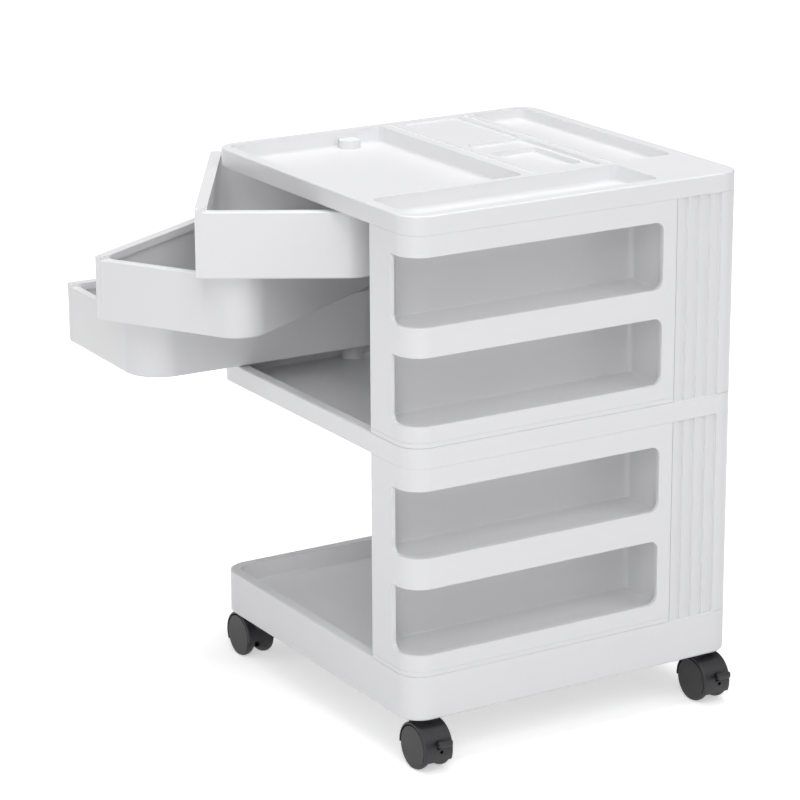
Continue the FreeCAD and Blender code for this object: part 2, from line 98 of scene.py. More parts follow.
floor_mesh = bmesh.new()
bmesh.ops.create_grid(floor_mesh, x_segments=1, y_segments=1, size=floor_reach)
bmesh.ops.translate(floor_mesh, vec=(0.0, 0.0, floor_level), verts=floor_mesh.verts)
floor_data = bpy.data.meshes.new("floor")
floor_mesh.to_mesh(floor_data)
floor_mesh.free()
floor = bpy.data.objects.new("floor", floor_data)
scene.collection.objects.link(floor)
floor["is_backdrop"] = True

floor_white, nodes, links = node_tree("floor_white")
paper = nodes.new("ShaderNodeBsdfDiffuse")
paper.inputs["Color"].default_value = (paper_shade, paper_shade, paper_shade, 1.0)
glow = nodes.new("ShaderNodeEmission")
place = nodes.new("ShaderNodeTexCoord")
away = nodes.new("ShaderNodeVectorMath")
away.operation = "LENGTH"
fade = nodes.new("ShaderNodeMapRange")
fade.inputs["From Min"].default_value = glow_starts
fade.inputs["From Max"].default_value = glow_full
fade.inputs["To Min"].default_value = glow_near
fade.inputs["To Max"].default_value = glow_far
links.new(place.outputs["Object"], away.inputs[0])
links.new(away.outputs["Value"], fade.inputs["Value"])
links.new(fade.outputs["Result"], glow.inputs["Strength"])
dark = nodes.new("ShaderNodeEmission")
dark.inputs["Strength"].default_value = 0.0
rays = nodes.new("ShaderNodeLightPath")
seen = nodes.new("ShaderNodeMath")
seen.operation = "MAXIMUM"
links.new(rays.outputs["Is Camera Ray"], seen.inputs[0])
links.new(rays.outputs["Is Glossy Ray"], seen.inputs[1])
seen_through = nodes.new("ShaderNodeMath")
seen_through.operation = "MAXIMUM"
links.new(seen.outputs[0], seen_through.inputs[0])
links.new(rays.outputs["Is Transmission Ray"], seen_through.inputs[1])
pick = nodes.new("ShaderNodeMixShader")
links.new(seen_through.outputs[0], pick.inputs[0])
links.new(dark.outputs[0], pick.inputs[1])
links.new(glow.outputs[0], pick.inputs[2])
both = nodes.new("ShaderNodeAddShader")
links.new(paper.outputs[0], both.inputs[0])
links.new(pick.outputs[0], both.inputs[1])
out = nodes.new("ShaderNodeOutputMaterial")
links.new(both.outputs[0], out.inputs["Surface"])
floor_data.materials.append(floor_white)


# Studio light: a wide lamp overhead, two high ones in front of the pocket side, a low one that
# faces the near corner, a weak one on the drawer side and a weak even surround.
surround_light = 0.12
background_white = 1.0
mirrored_share = 0.5
lamp_aim = (0.0, 0.0, 0.25)
lamps = {"lamp_above": ((0.0, 0.2, 3.0), 2.6, 60.0),
         "lamp_high_left": ((-1.6, -2.6, 2.9), 2.2, 50.0),
         "lamp_high_right": ((1.6, -2.6, 2.6), 2.2, 24.0),
         "lamp_near_corner": ((-2.4, -3.0, 1.1), 2.2, 24.0),
         "lamp_drawer_side": ((-2.8, 1.2, 1.6), 2.0, 12.0)}
world = bpy.data.worlds.new("studio")
world.use_nodes = True
scene.world = world
nodes, links = world.node_tree.nodes, world.node_tree.links
nodes.clear()
rays = nodes.new("ShaderNodeLightPath")
even = nodes.new("ShaderNodeBackground")
even.inputs["Strength"].default_value = surround_light
white = nodes.new("ShaderNodeBackground")
white.inputs["Strength"].default_value = background_white
mirrored = nodes.new("ShaderNodeMath")
mirrored.operation = "MULTIPLY"
mirrored.inputs[1].default_value = mirrored_share
seen = nodes.new("ShaderNodeMath")
seen.operation = "MAXIMUM"
pick = nodes.new("ShaderNodeMixShader")
out = nodes.new("ShaderNodeOutputWorld")
links.new(rays.outputs["Is Glossy Ray"], mirrored.inputs[0])
links.new(rays.outputs["Is Camera Ray"], seen.inputs[0])
links.new(mirrored.outputs[0], seen.inputs[1])
links.new(seen.outputs[0], pick.inputs[0])
links.new(even.outputs[0], pick.inputs[1])
links.new(white.outputs[0], pick.inputs[2])
links.new(pick.outputs[0], out.inputs["Surface"])
for name, (lamp_place, lamp_size, lamp_power) in lamps.items():
    lamp_data = bpy.data.lights.new(name, "AREA")
    lamp_data.shape = "SQUARE"
    lamp_data.size = lamp_size
    lamp_data.energy = lamp_power
    lamp = bpy.data.objects.new(name, lamp_data)
    scene.collection.objects.link(lamp)
    lamp.location = lamp_place
    lamp.rotation_mode = "QUATERNION"
    lamp.rotation_quaternion = (Vector(lamp_aim) - Vector(lamp_place)).to_track_quat("-Z", "Y")


# Base tray: one deep white plastic moulding with a thick hollow rim, a raised floor and ribs
# under it. The casters push into bosses at its corners. Sizes here are in millimetres and
# each mesh is brought to metres when its piece is finished.
half_width = 205.0
corner_round = 26.0
least_round = 3.0
tray_wall = 3.0
rim_width = 12.0
rim_inside = rim_width - tray_wall
lap = 1.0
overrun = 10.0
rim_round = 1.8
tray_edge_round = 0.8
base_low = 0.0
base_floor = 28.0
base_top = 49.0
base_foot_round = 3.0
base_recess_round = 2.5
half_rib = 1.5
caster_x = 178.0
caster_y = 174.0
boss_radius = 14.0
boss_bore = 7.1
boss_bore_top = 20.5
brace_length = 60.0
millimetre = 0.001


def upright_block(points, low, high, arc=10):
    """Solid over a plan of (x, y, radius) corners, its upright corners rounded."""
    block = bmesh.new()
    face = block.faces.new([block.verts.new((x, y, low)) for x, y, radius in points])
    lifted = bmesh.ops.extrude_face_region(block, geom=[face])
    top = [part for part in lifted["geom"] if isinstance(part, bmesh.types.BMVert)]
    bmesh.ops.translate(block, vec=(0, 0, high - low), verts=top)
    bmesh.ops.recalc_face_normals(block, faces=block.faces)
    for x, y, radius in points:
        if radius > 0:
            corner = [edge for edge in block.edges
                      if all((vert.co.xy - Vector((x, y))).length < 0.001 for vert in edge.verts)]
            bmesh.ops.bevel(block, geom=corner, offset=radius, offset_type="OFFSET",
                            affect="EDGES", segments=arc, profile=0.5, material=-1)
    return block


def rect(x0, y0, x1, y1, radius=0):
    return [(x0, y0, radius), (x1, y0, radius), (x1, y1, radius), (x0, y1, radius)]


def tray_plan(inset):
    """The trolley's square plan, drawn in by an inset."""
    half = half_width - inset
    return rect(-half, -half, half, half, max(corner_round - inset, least_round))


def soften(block, level, radius, segments=4):
    """Round the sharp edges that lie at one height."""
    rim = [edge for edge in block.edges if edge.calc_face_angle(0.0) > 0.6
           and all(abs(vert.co.z - level) < 0.01 for vert in edge.verts)]
    bmesh.ops.bevel(block, geom=rim, offset=radius, affect="EDGES", segments=segments,
                    profile=0.5, material=-1, clamp_overlap=True)
    return block


def drum(x, y, low, high, radius, segments=48):
    """Upright round bar."""
    bar = bmesh.new()
    bmesh.ops.create_cone(bar, cap_ends=True, segments=segments, radius1=radius, radius2=radius,
                          depth=high - low)
    bmesh.ops.translate(bar, vec=(x, y, (low + high) / 2), verts=bar.verts)
    return bar


def loose_object(block):
    data = bpy.data.meshes.new("working")
    block.to_mesh(data)
    block.free()
    working = bpy.data.objects.new("working", data)
    scene.collection.objects.link(working)
    return working


def combine(block, *others, how="DIFFERENCE"):
    """Cut, join or intersect a block with others, and give back the new block."""
    working = loose_object(block)
    tools = [loose_object(other) for other in others]
    for tool in tools:
        step = working.modifiers.new("step", "BOOLEAN")
        step.operation = how
        step.solver = "EXACT"
        step.object = tool
    seen_now = working.evaluated_get(bpy.context.evaluated_depsgraph_get())
    result = bmesh.new()
    result.from_mesh(seen_now.to_mesh())
    seen_now.to_mesh_clear()
    for used in [working] + tools:
        data = used.data
        bpy.data.objects.remove(used)
        bpy.data.meshes.remove(data)
    bmesh.ops.remove_doubles(result, verts=result.verts, dist=0.002)
    bmesh.ops.dissolve_degenerate(result, edges=result.edges, dist=0.002)
    bmesh.ops.dissolve_limit(result, angle_limit=math.radians(0.3), verts=result.verts,
                             edges=result.edges)
    return result


def moulded_piece(name, block, body, material, nodes_replaced, edge_round):
    """Bring a block to metres, round its remaining edges and hang it on its body."""
    bmesh.ops.scale(block, vec=(millimetre, millimetre, millimetre), verts=block.verts)
    data = bpy.data.meshes.new(name)
    block.to_mesh(data)
    block.free()
    data.materials.append(material)
    data.shade_smooth()
    piece = bpy.data.objects.new(name, data)
    scene.collection.objects.link(piece)
    if edge_round > 0:
        rounding = piece.modifiers.new("edge_round", "BEVEL")
        rounding.width = edge_round * millimetre
        rounding.segments = 3
        rounding.limit_method = "ANGLE"
        rounding.angle_limit = math.radians(35.0)
        rounding.harden_normals = True
        rounding.use_clamp_overlap = True
    even_shading = piece.modifiers.new("even_shading", "WEIGHTED_NORMAL")
    even_shading.keep_sharp = True
    even_shading.weight = 80
    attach(piece, body)
    if nodes_replaced:
        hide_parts(*nodes_replaced)
    return piece


def moulded_white(name, shade, gloss):
    """Glossy white plastic: faint cloudiness, a trace of waviness and slightly uneven gloss."""
    material, nodes, links = node_tree(name)
    place = nodes.new("ShaderNodeTexCoord")
    shader = nodes.new("ShaderNodeBsdfPrincipled")
    out = nodes.new("ShaderNodeOutputMaterial")
    links.new(shader.outputs[0], out.inputs["Surface"])
    cloud = nodes.new("ShaderNodeTexNoise")
    cloud.inputs["Scale"].default_value = 9.0
    cloud.inputs["Detail"].default_value = 3.0
    tint = nodes.new("ShaderNodeMix")
    tint.data_type = "RGBA"
    tint.inputs["A"].default_value = (shade * 0.981, shade * 0.982, shade * 0.995, 1.0)
    tint.inputs["B"].default_value = (shade * 0.996, shade * 0.997, shade * 1.015, 1.0)
    links.new(place.outputs["Object"], cloud.inputs["Vector"])
    links.new(cloud.outputs["Fac"], tint.inputs["Factor"])
    links.new(tint.outputs["Result"], shader.inputs["Base Color"])
    patchy = nodes.new("ShaderNodeTexNoise")
    patchy.inputs["Scale"].default_value = 16.0
    patchy.inputs["Detail"].default_value = 2.0
    rough = nodes.new("ShaderNodeMapRange")
    rough.inputs["From Min"].default_value = 0.3
    rough.inputs["From Max"].default_value = 0.7
    rough.inputs["To Min"].default_value = gloss - 0.02
    rough.inputs["To Max"].default_value = gloss + 0.03
    links.new(place.outputs["Object"], patchy.inputs["Vector"])
    links.new(patchy.outputs["Fac"], rough.inputs["Value"])
    links.new(rough.outputs["Result"], shader.inputs["Roughness"])
    ripple = nodes.new("ShaderNodeTexNoise")
    ripple.inputs["Scale"].default_value = 30.0
    ripple.inputs["Detail"].default_value = 0.0
    broad = nodes.new("ShaderNodeBump")
    broad.inputs["Strength"].default_value = 0.03
    broad.inputs["Distance"].default_value = 0.0005
    links.new(place.outputs["Object"], ripple.inputs["Vector"])
    links.new(ripple.outputs["Fac"], broad.inputs["Height"])
    links.new(broad.outputs["Normal"], shader.inputs["Normal"])
    shader.inputs["IOR"].default_value = 1.5
    return material


def reach(start, length):
    """The two ends, in rising order, of a rib that runs from a boss toward the middle."""
    end = start - math.copysign(length, start)
    return min(start, end), max(start, end)


white_shade = 0.82
tray_white = moulded_white("tray_white", white_shade, 0.30)
base_tray = upright_block(tray_plan(0), base_low, base_top, arc=14)
soften(base_tray, base_low, base_foot_round, 5)
soften(base_tray, base_top, rim_round, 4)
base_recess = upright_block(tray_plan(rim_width), base_floor, base_top + 2 * overrun)
soften(base_recess, base_floor, base_recess_round, 4)
base_under = upright_block(tray_plan(tray_wall), base_low - overrun, base_top - tray_wall)
base_floor_block = upright_block(tray_plan(rim_inside), base_floor - tray_wall,
                                 base_top - tray_wall + lap)
rib_end = half_width - half_rib
rib_top = base_floor - tray_wall + lap
rib_across = upright_block(rect(-rib_end, -half_rib, rib_end, half_rib), base_low, rib_top)
rib_along = upright_block(rect(-half_rib, -rib_end, half_rib, rib_end), base_low, rib_top)
base_tray = combine(base_tray, base_under)
base_tray = combine(base_tray, base_floor_block, rib_across, rib_along, how="UNION")
base_tray = combine(base_tray, base_recess)
brace_top = base_floor - half_rib
for x, y in ((-caster_x, -caster_y), (caster_x, -caster_y), (-caster_x, caster_y),
             (caster_x, caster_y)):
    x_low, x_high = reach(x, brace_length)
    y_low, y_high = reach(y, brace_length)
    boss = drum(x, y, base_low, base_floor, boss_radius)
    brace_across = upright_block(rect(x_low, y - half_rib, x_high, y + half_rib), base_low, brace_top)
    brace_along = upright_block(rect(x - half_rib, y_low, x + half_rib, y_high), base_low, brace_top)
    base_tray = combine(base_tray, boss, brace_across, brace_along, how="UNION")
    base_tray = combine(base_tray, drum(x, y, base_low - overrun, boss_bore_top, boss_bore))
moulded_piece("base_tray_shell", base_tray, "cart", tray_white, ["base_tray"],
              tray_edge_round)


# Middle tray: a shallower moulding of the same kind, which caps the lower storey and carries
# the upper one. A round seat at its back holds the foot of the drawers' rod.
middle_low = 273.0
middle_floor = 276.0
middle_top = 295.0
middle_recess_round = 2.0
rod_x = -46.0
rod_y = 183.0
rod_radius = 6.0
rod_bore = 6.05
rod_seat_radius = 12.0
screw_bore = 2.05
middle_tray = upright_block(tray_plan(0), middle_low, middle_top, arc=14)
soften(middle_tray, middle_top, rim_round, 4)
middle_under = upright_block(tray_plan(tray_wall), middle_low - overrun, middle_top - tray_wall)
middle_recess = upright_block(tray_plan(rim_width), middle_floor, middle_top + 2 * overrun)
soften(middle_recess, middle_floor, middle_recess_round, 4)
middle_floor_block = upright_block(tray_plan(rim_inside), middle_low, middle_top - tray_wall + lap)
middle_tray = combine(middle_tray, middle_under)
middle_tray = combine(middle_tray, middle_floor_block, how="UNION")
middle_tray = combine(middle_tray, middle_recess)
rod_seat = drum(rod_x, rod_y, middle_low, middle_top, rod_seat_radius)
middle_tray = combine(middle_tray, rod_seat, how="UNION")
middle_tray = combine(middle_tray, drum(rod_x, rod_y, middle_floor, middle_top + overrun, rod_bore),
                      drum(rod_x, rod_y, middle_low - overrun, middle_floor + lap, screw_bore, 24))
moulded_piece("middle_tray_shell", middle_tray, "cart", tray_white,
              ["middle_tray"], tray_edge_round)


# Top tray: the lid of the trolley, a white moulding sunk into compartments for small things,
# with low double ridges between them and a plain flat corner. It lies on both upper units.
top_low = 514.0
top_high = 534.0
seam_round = 0.35
top_rim_round = 2.2
top_edge_round = 0.9
left_edge = -193.0
near_edge = -190.0
far_edge = 192.0
ridge_near = -110.0
ridge_far = -101.0
middle_left = 26.0
middle_right = 99.0
plate_edge = 58.0
sunk_round = 9.0
plate_depth = 7.0
plain_left = 110.0
plain_far = -103.0
groove_half = 2.3
groove_depth = 1.1
groove_bottom_round = 1.05
groove_end_round = 2.0
rod_top = 523.0
rod_cap = 3.0
top_tray = upright_block(tray_plan(0), top_low, top_high, arc=14)
soften(top_tray, top_high, top_rim_round, 5)
soften(top_tray, top_low, seam_round, 2)
sunk_places = ((rect(left_edge, ridge_far, -2.0, far_edge, sunk_round), 17.0, 2.5),
               (rect(left_edge, near_edge, 107.0, ridge_near, sunk_round), 17.0, 2.5),
               (rect(middle_left, ridge_far, middle_right, plate_edge, sunk_round), 4.0, 1.2),
               (rect(middle_left, plate_edge, middle_right, far_edge, sunk_round), 2.0, 0.8),
               (rect(32.0, -68.0, 94.0, 24.0, sunk_round / 2), 10.0, 1.5),
               (rect(120.0, -100.0, 188.0, far_edge, sunk_round), 12.0, 2.5))
for plan, depth, foot in sunk_places:
    sunk = soften(upright_block(plan, top_high - depth, top_high + 2 * overrun), top_high - depth,
                  foot, 3)
    top_tray = combine(top_tray, sunk)
for groove_x in (12.0, 109.5):
    groove_plan = rect(groove_x - groove_half, ridge_far, groove_x + groove_half, far_edge,
                       groove_end_round)
    groove = upright_block(groove_plan, top_high - groove_depth, top_high + overrun, arc=4)
    soften(groove, top_high - groove_depth, groove_bottom_round, 4)
    top_tray = combine(top_tray, groove)
plate_under = rect(middle_left, plate_edge, middle_right, far_edge - tray_wall, sunk_round)
corner_inside = half_width - rim_width
plain_under = rect(plain_left, -corner_inside, corner_inside, plain_far, sunk_round)
top_tray = combine(top_tray, upright_block(plate_under, top_low - overrun, top_high - plate_depth),
                   upright_block(plain_under, top_low - overrun, top_high - tray_wall))
top_tray = combine(top_tray, drum(rod_x, rod_y, top_low, rod_top + rod_cap, rod_seat_radius),
                   how="UNION")
top_tray = combine(top_tray, drum(rod_x, rod_y, top_low - overrun, rod_top, rod_bore))
moulded_piece("top_tray_shell", top_tray, "cart", tray_white, ["top_tray"],
              top_edge_round)


# Pocket units: two tall white plastic shells, each with two open pockets to the side. Their
# windows wrap round the near corner, and a spigot under each drops into the tray below it.
pocket_end = 119.0
pocket_back = -127.0
pocket_back_round = 1.4
pocket_inner_round = 6.0
pocket_wall = 4.5
shelf_drop = 6.0
shelf_round = 1.5
shelf_thickness = 3.0
pocket_edge_round = 1.8
spigot_play = 0.4
spigot_half = half_width - rim_width - spigot_play
spigot_round = corner_round - rim_width
spigot_wall = 3.0
window_height = 72.0
window_end = 102.5
window_post = -168.0
window_round = 10.0
window_head_round = 3.0
window_reach = 80.0
line_rise = 5.0
line_height = 0.6
line_depth = 0.35


def on_side(block, turn_about_z, move):
    """Lay a block that was drawn flat, (along, up), on an upright side."""
    bmesh.ops.rotate(block, cent=(0, 0, 0), matrix=Matrix.Rotation(math.radians(90), 3, "X"),
                     verts=block.verts)
    if turn_about_z:
        bmesh.ops.rotate(block, cent=(0, 0, 0), matrix=Matrix.Rotation(math.radians(90), 3, "Z"),
                         verts=block.verts)
    bmesh.ops.translate(block, vec=move, verts=block.verts)
    return block


def pocket_plan(inset):
    """The pockets' plan, drawn in by an inset; inside the shell its back corner is rounded."""
    outside = -half_width + inset
    back_corner = pocket_inner_round if inset > lap else 0
    return [(outside, outside, max(corner_round - inset, least_round)),
            (pocket_end - inset, outside, 0),
            (pocket_end - inset, pocket_back - inset, back_corner),
            (outside, pocket_back - inset, pocket_back_round)]


def pocket_window(sill):
    """Opening with a rounded far end, and rounded at the foot of the post."""
    head = sill + window_height
    start = -half_width - window_reach
    front_plan = [(start, sill, 0), (window_end, sill, window_round), (window_end, head, window_round),
                  (start, head, 0)]
    front_cut = upright_block(front_plan, 0, 2 * window_reach, arc=6)
    on_side(front_cut, False, (0, pocket_back, 0))
    side_plan = [(start, sill, 0), (window_post, sill, window_round),
                 (window_post, head, window_head_round), (start, head, 0)]
    side_cut = upright_block(side_plan, 0, 4 * half_width, arc=6)
    on_side(side_cut, True, (-2 * half_width, 0, 0))
    return combine(front_cut, side_cut, how="INTERSECT")


shell_white = moulded_white("shell_white", white_shade, 0.32)
pocket_units = {"lower": (base_top, middle_low, base_floor, (177.0, 72.0)),
                "upper": (middle_top, top_low, middle_floor, (419.8, 317.0))}
for name, (low, high, tray_floor, sills) in pocket_units.items():
    unit = upright_block(pocket_plan(0), low, high, arc=14)
    soften(unit, low, seam_round, 2)
    soften(unit, high, seam_round, 2)
    spigot_plan = [(-spigot_half, -spigot_half, spigot_round), (pocket_end, -spigot_half, 0),
                   (pocket_end, pocket_back, 0), (-spigot_half, pocket_back, 0)]
    unit = combine(unit, upright_block(spigot_plan, tray_floor, low + spigot_wall), how="UNION")
    upper_shelf = sills[0] - shelf_drop
    lower_shelf = sills[1] - shelf_drop
    for shelf, ceiling in ((upper_shelf, high - shelf_thickness),
                           (lower_shelf, upper_shelf - shelf_thickness)):
        hollow = soften(upright_block(pocket_plan(pocket_wall), shelf, ceiling), shelf, shelf_round, 3)
        unit = combine(unit, hollow)
    foot_half = spigot_half - spigot_wall
    foot_plan = [(-foot_half, -foot_half, least_round), (pocket_end - spigot_wall, -foot_half, 0),
                 (pocket_end - spigot_wall, pocket_back - spigot_wall, 0),
                 (-foot_half, pocket_back - spigot_wall, 0)]
    unit = combine(unit, upright_block(foot_plan, tray_floor - overrun, lower_shelf - shelf_thickness))
    for sill in sills:
        unit = combine(unit, pocket_window(sill))
    line = combine(upright_block(pocket_plan(-line_rise), low + line_rise, low + line_rise + line_height),
                   upright_block(pocket_plan(line_depth), low, high, arc=14),
                   upright_block(rect(pocket_end - pocket_back_round, -half_width - overrun,
                                      half_width, half_width), low, high))
    unit = combine(unit, line)
    moulded_piece(name + "_pocket_shell", unit, "cart", shell_white,
                  [name + "_pocket_unit"], pocket_edge_round)


# Side units: the other half of each storey, an L-shaped white shell behind the pockets. Its
# front end is fluted like overlapping slats, and a deep bin opens on the right-hand side.
unit_gap = 0.8
side_start = pocket_end + unit_gap
side_near = pocket_back + unit_gap
bay_wall_x = 2.0
side_wall = 3.0
fluted_wall = 5.0
slat_count = 4
slat_width = 14.4
slat_depth = 3.3
slat_overrun = 0.5
bin_rise = 28.0
bin_round = 1.5
bin_window_half = 157.0
bin_window_rise = 34.0
bin_window_drop = 24.0
bin_window_round = 18.0
side_edge_round = 1.0
for name, (low, high, tray_floor, sills) in pocket_units.items():
    unit = upright_block([(side_start, -half_width, 0), (half_width, -half_width, corner_round),
                          (half_width, half_width, corner_round),
                          (bay_wall_x, half_width, pocket_back_round),
                          (bay_wall_x, side_near, 0), (side_start, side_near, 0)], low, high, arc=14)
    soften(unit, low, seam_round, 2)
    soften(unit, high, seam_round, 2)
    spigot_plan = [(side_start, -spigot_half, 0), (spigot_half, -spigot_half, spigot_round),
                   (spigot_half, spigot_half, spigot_round), (bay_wall_x, spigot_half, 0),
                   (bay_wall_x, side_near, 0), (side_start, side_near, 0)]
    unit = combine(unit, upright_block(spigot_plan, tray_floor, low + spigot_wall), how="UNION")
    for slat in range(slat_count):
        slat_left = pocket_end + slat_width * slat
        slat_right = slat_left + slat_width
        flute_plan = [(slat_left, -half_width - overrun, 0), (slat_right, -half_width - overrun, 0),
                      (slat_right, -half_width + slat_depth, 0), (slat_left, -half_width, 0)]
        unit = combine(unit, upright_block(flute_plan, low - slat_overrun, high + slat_overrun))
    bin_floor = low + bin_rise
    inside_start = side_start + side_wall
    inside_near = side_near + side_wall
    inside_left = bay_wall_x + side_wall
    inside_half = half_width - side_wall
    hollow_round = corner_round - side_wall
    hollow_front = -half_width + fluted_wall
    hollow_plan = [(inside_start, hollow_front, 0), (inside_half, hollow_front, hollow_round),
                   (inside_half, inside_half, hollow_round), (inside_left, inside_half, 0),
                   (inside_left, inside_near, 0), (inside_start, inside_near, 0)]
    hollow = upright_block(hollow_plan, bin_floor, high - side_wall)
    unit = combine(unit, soften(hollow, bin_floor, bin_round, 3))
    foot_half = spigot_half - spigot_wall
    foot_plan = [(inside_start, -foot_half, 0), (foot_half, -foot_half, least_round),
                 (foot_half, foot_half, least_round), (inside_left, foot_half, 0),
                 (inside_left, inside_near, 0), (inside_start, inside_near, 0)]
    unit = combine(unit, upright_block(foot_plan, tray_floor - overrun, bin_floor - side_wall))
    window_plan = rect(-bin_window_half, low + bin_window_rise, bin_window_half,
                       high - bin_window_drop, bin_window_round)
    window = upright_block(window_plan, 0, 2 * rim_width, arc=8)
    unit = combine(unit, on_side(window, True, (half_width - rim_width, 0, 0)))
    moulded_piece(name + "_side_shell", unit, "cart", shell_white,
                  [name + "_side_unit"], side_edge_round)


# Rod: a plain bright steel bar in the seats of the middle and top trays. The drawers turn on
# it, and one screw from below the middle tray holds it.
rod_end_round = 0.6
screw_radius = 1.95
screw_head_radius = 4.0
screw_head_round = 1.2
screw_head_low = 270.4
screw_head_high = 273.2
screw_slot_half = 2.2
screw_slot_side = 0.4
screw_slot_depth = 1.1
screw_edge_round = 0.1


def bright_steel(name, shade):
    """Drawn steel: fine lines round the bar and a little uneven gloss."""
    material, nodes, links = node_tree(name)
    place = nodes.new("ShaderNodeTexCoord")
    stretch = nodes.new("ShaderNodeMapping")
    stretch.inputs["Scale"].default_value = (1.0, 1.0, 14.0)
    lines = nodes.new("ShaderNodeTexNoise")
    lines.inputs["Scale"].default_value = 260.0
    lines.inputs["Detail"].default_value = 4.0
    rough = nodes.new("ShaderNodeMapRange")
    rough.inputs["To Min"].default_value = 0.18
    rough.inputs["To Max"].default_value = 0.34
    relief = nodes.new("ShaderNodeBump")
    relief.inputs["Strength"].default_value = 0.12
    relief.inputs["Distance"].default_value = 0.0001
    shader = nodes.new("ShaderNodeBsdfPrincipled")
    shader.inputs["Metallic"].default_value = 1.0
    out = nodes.new("ShaderNodeOutputMaterial")
    tint = nodes.new("ShaderNodeMix")
    tint.data_type = "RGBA"
    tint.inputs["A"].default_value = (shade * 0.9, shade * 0.9, shade * 0.92, 1.0)
    tint.inputs["B"].default_value = (shade, shade, shade, 1.0)
    links.new(place.outputs["Object"], stretch.inputs["Vector"])
    links.new(stretch.outputs["Vector"], lines.inputs["Vector"])
    links.new(lines.outputs["Fac"], rough.inputs["Value"])
    links.new(lines.outputs["Fac"], relief.inputs["Height"])
    links.new(lines.outputs["Fac"], tint.inputs["Factor"])
    links.new(tint.outputs["Result"], shader.inputs["Base Color"])
    links.new(rough.outputs["Result"], shader.inputs["Roughness"])
    links.new(relief.outputs["Normal"], shader.inputs["Normal"])
    links.new(shader.outputs[0], out.inputs["Surface"])
    return material


steel = bright_steel("steel", 0.62)
rod = drum(rod_x, rod_y, middle_floor, rod_top, rod_radius)
soften(rod, middle_floor, rod_end_round, 2)
soften(rod, rod_top, rod_end_round, 2)
moulded_piece("rod_bar", rod, "cart", steel, ["drawer_rod"], 0)
screw_shank = drum(rod_x, rod_y, middle_low - lap, middle_floor, screw_radius, 24)
screw_head = drum(rod_x, rod_y, screw_head_low, screw_head_high, screw_head_radius)
soften(screw_head, screw_head_low, screw_head_round, 4)
rod_screw = combine(screw_shank, screw_head, how="UNION")
slot_top = screw_head_low + screw_slot_depth
for half_x, half_y in ((screw_slot_half, screw_slot_side), (screw_slot_side, screw_slot_half)):
    slot_plan = rect(rod_x - half_x, rod_y - half_y, rod_x + half_x, rod_y + half_y)
    rod_screw = combine(rod_screw, upright_block(slot_plan, screw_head_low - overrun, slot_top))
moulded_piece("rod_screw", rod_screw, "cart", steel, [], screw_edge_round)


# Drawers: three white trays of one kind stacked on the rod, each a thin tub with a thicker
# plate across its outer face. They are drawn shut and then turned open about the rod.
drawer_left = -200.0
drawer_right = -10.5
drawer_near = -94.0
drawer_far = 202.0
far_round = 24.0
far_left_round = 18.0
drawer_wall = 4.0
lip_width = 9.0
lip_height = 4.0
plate_thickness = 6.0
plate_near = -94.5
plate_far = 184.0
plate_foot_round = 4.0
plate_edge_round = 1.5
plate_wall = 10.0
plate_lip = 12.5
drawer_floor = 3.0
drawer_foot_round = 2.5
drawer_top_round = 2.0
drawer_least_round = 3.0
drawer_edge_round = 1.1
set_back = 2.0
hub_radius = 13.0
hub_drop = 0.9
tie_half = 6.5
drawer_white = moulded_white("drawer_white", white_shade, 0.30)
drawers = {"bottom": (296.2, 365.0, 91.5, 42.0), "middle": (366.2, 437.0, 60.0, 34.0),
           "top": (438.2, 513.2, 31.3, 34.0)}


def tub_plan(left_inset, inset, near_left_round, inner_round):
    """A drawer's plan: drawn in on its plate's side by one inset and all round by another."""
    return [(drawer_left + left_inset, drawer_near + inset, near_left_round),
            (drawer_right - inset, drawer_near + inset, inner_round - inset),
            (drawer_right - inset, drawer_far - inset, far_round - inset),
            (drawer_left + left_inset, drawer_far - inset, far_left_round - inset)]


for name, (low, high, opened, inner_round) in drawers.items():
    side_top = high - lip_height
    lip_low = side_top - lip_height
    tub = upright_block(tub_plan(0, 0, 0, inner_round), low, side_top, arc=14)
    soften(tub, low, drawer_foot_round, 4)
    soften(tub, side_top, drawer_top_round, 4)
    hollow = upright_block(tub_plan(plate_wall, drawer_wall, drawer_least_round, inner_round),
                           low + drawer_floor, lip_low, arc=14)
    soften(hollow, low + drawer_floor, drawer_top_round, 3)
    mouth = upright_block(tub_plan(plate_lip, lip_width, drawer_least_round, inner_round),
                          lip_low - lap, high + overrun, arc=14)
    tub = combine(tub, hollow, mouth)
    plate = upright_block([(plate_near, low, plate_foot_round), (plate_far, low, 0),
                           (plate_far, high, plate_edge_round), (plate_near, high, plate_edge_round)],
                          0, plate_thickness, arc=5)
    on_side(plate, True, (drawer_left, 0, 0))
    behind_plate = drawer_left + plate_thickness / 2
    band = upright_block(rect(behind_plate, drawer_near + set_back, drawer_left + plate_wall, plate_far),
                         low, high)
    rail = upright_block(rect(behind_plate, drawer_near + 2 * drawer_wall, drawer_left + plate_lip,
                              plate_far), lip_low, high)
    grip = upright_block(rect(behind_plate, drawer_near, drawer_left + plate_thickness + lap,
                              drawer_near + lip_width), low + drawer_floor, high)
    hub = drum(rod_x, rod_y, low - hub_drop, high, hub_radius)
    tie = upright_block(rect(rod_x - tie_half, rod_y, rod_x + tie_half, drawer_far - set_back),
                        low, side_top)
    tub = combine(tub, plate, band, rail, grip, hub, tie, how="UNION")
    tub = combine(tub, drum(rod_x, rod_y, low - overrun, high + overrun, rod_bore))
    bmesh.ops.rotate(tub, cent=(rod_x, rod_y, 0), verts=tub.verts,
                     matrix=Matrix.Rotation(math.radians(-opened), 3, "Z"))
    moulded_piece("drawer_%s_tub" % name, tub, "drawer_" + name, drawer_white,
                  ["drawer_" + name], drawer_edge_round)


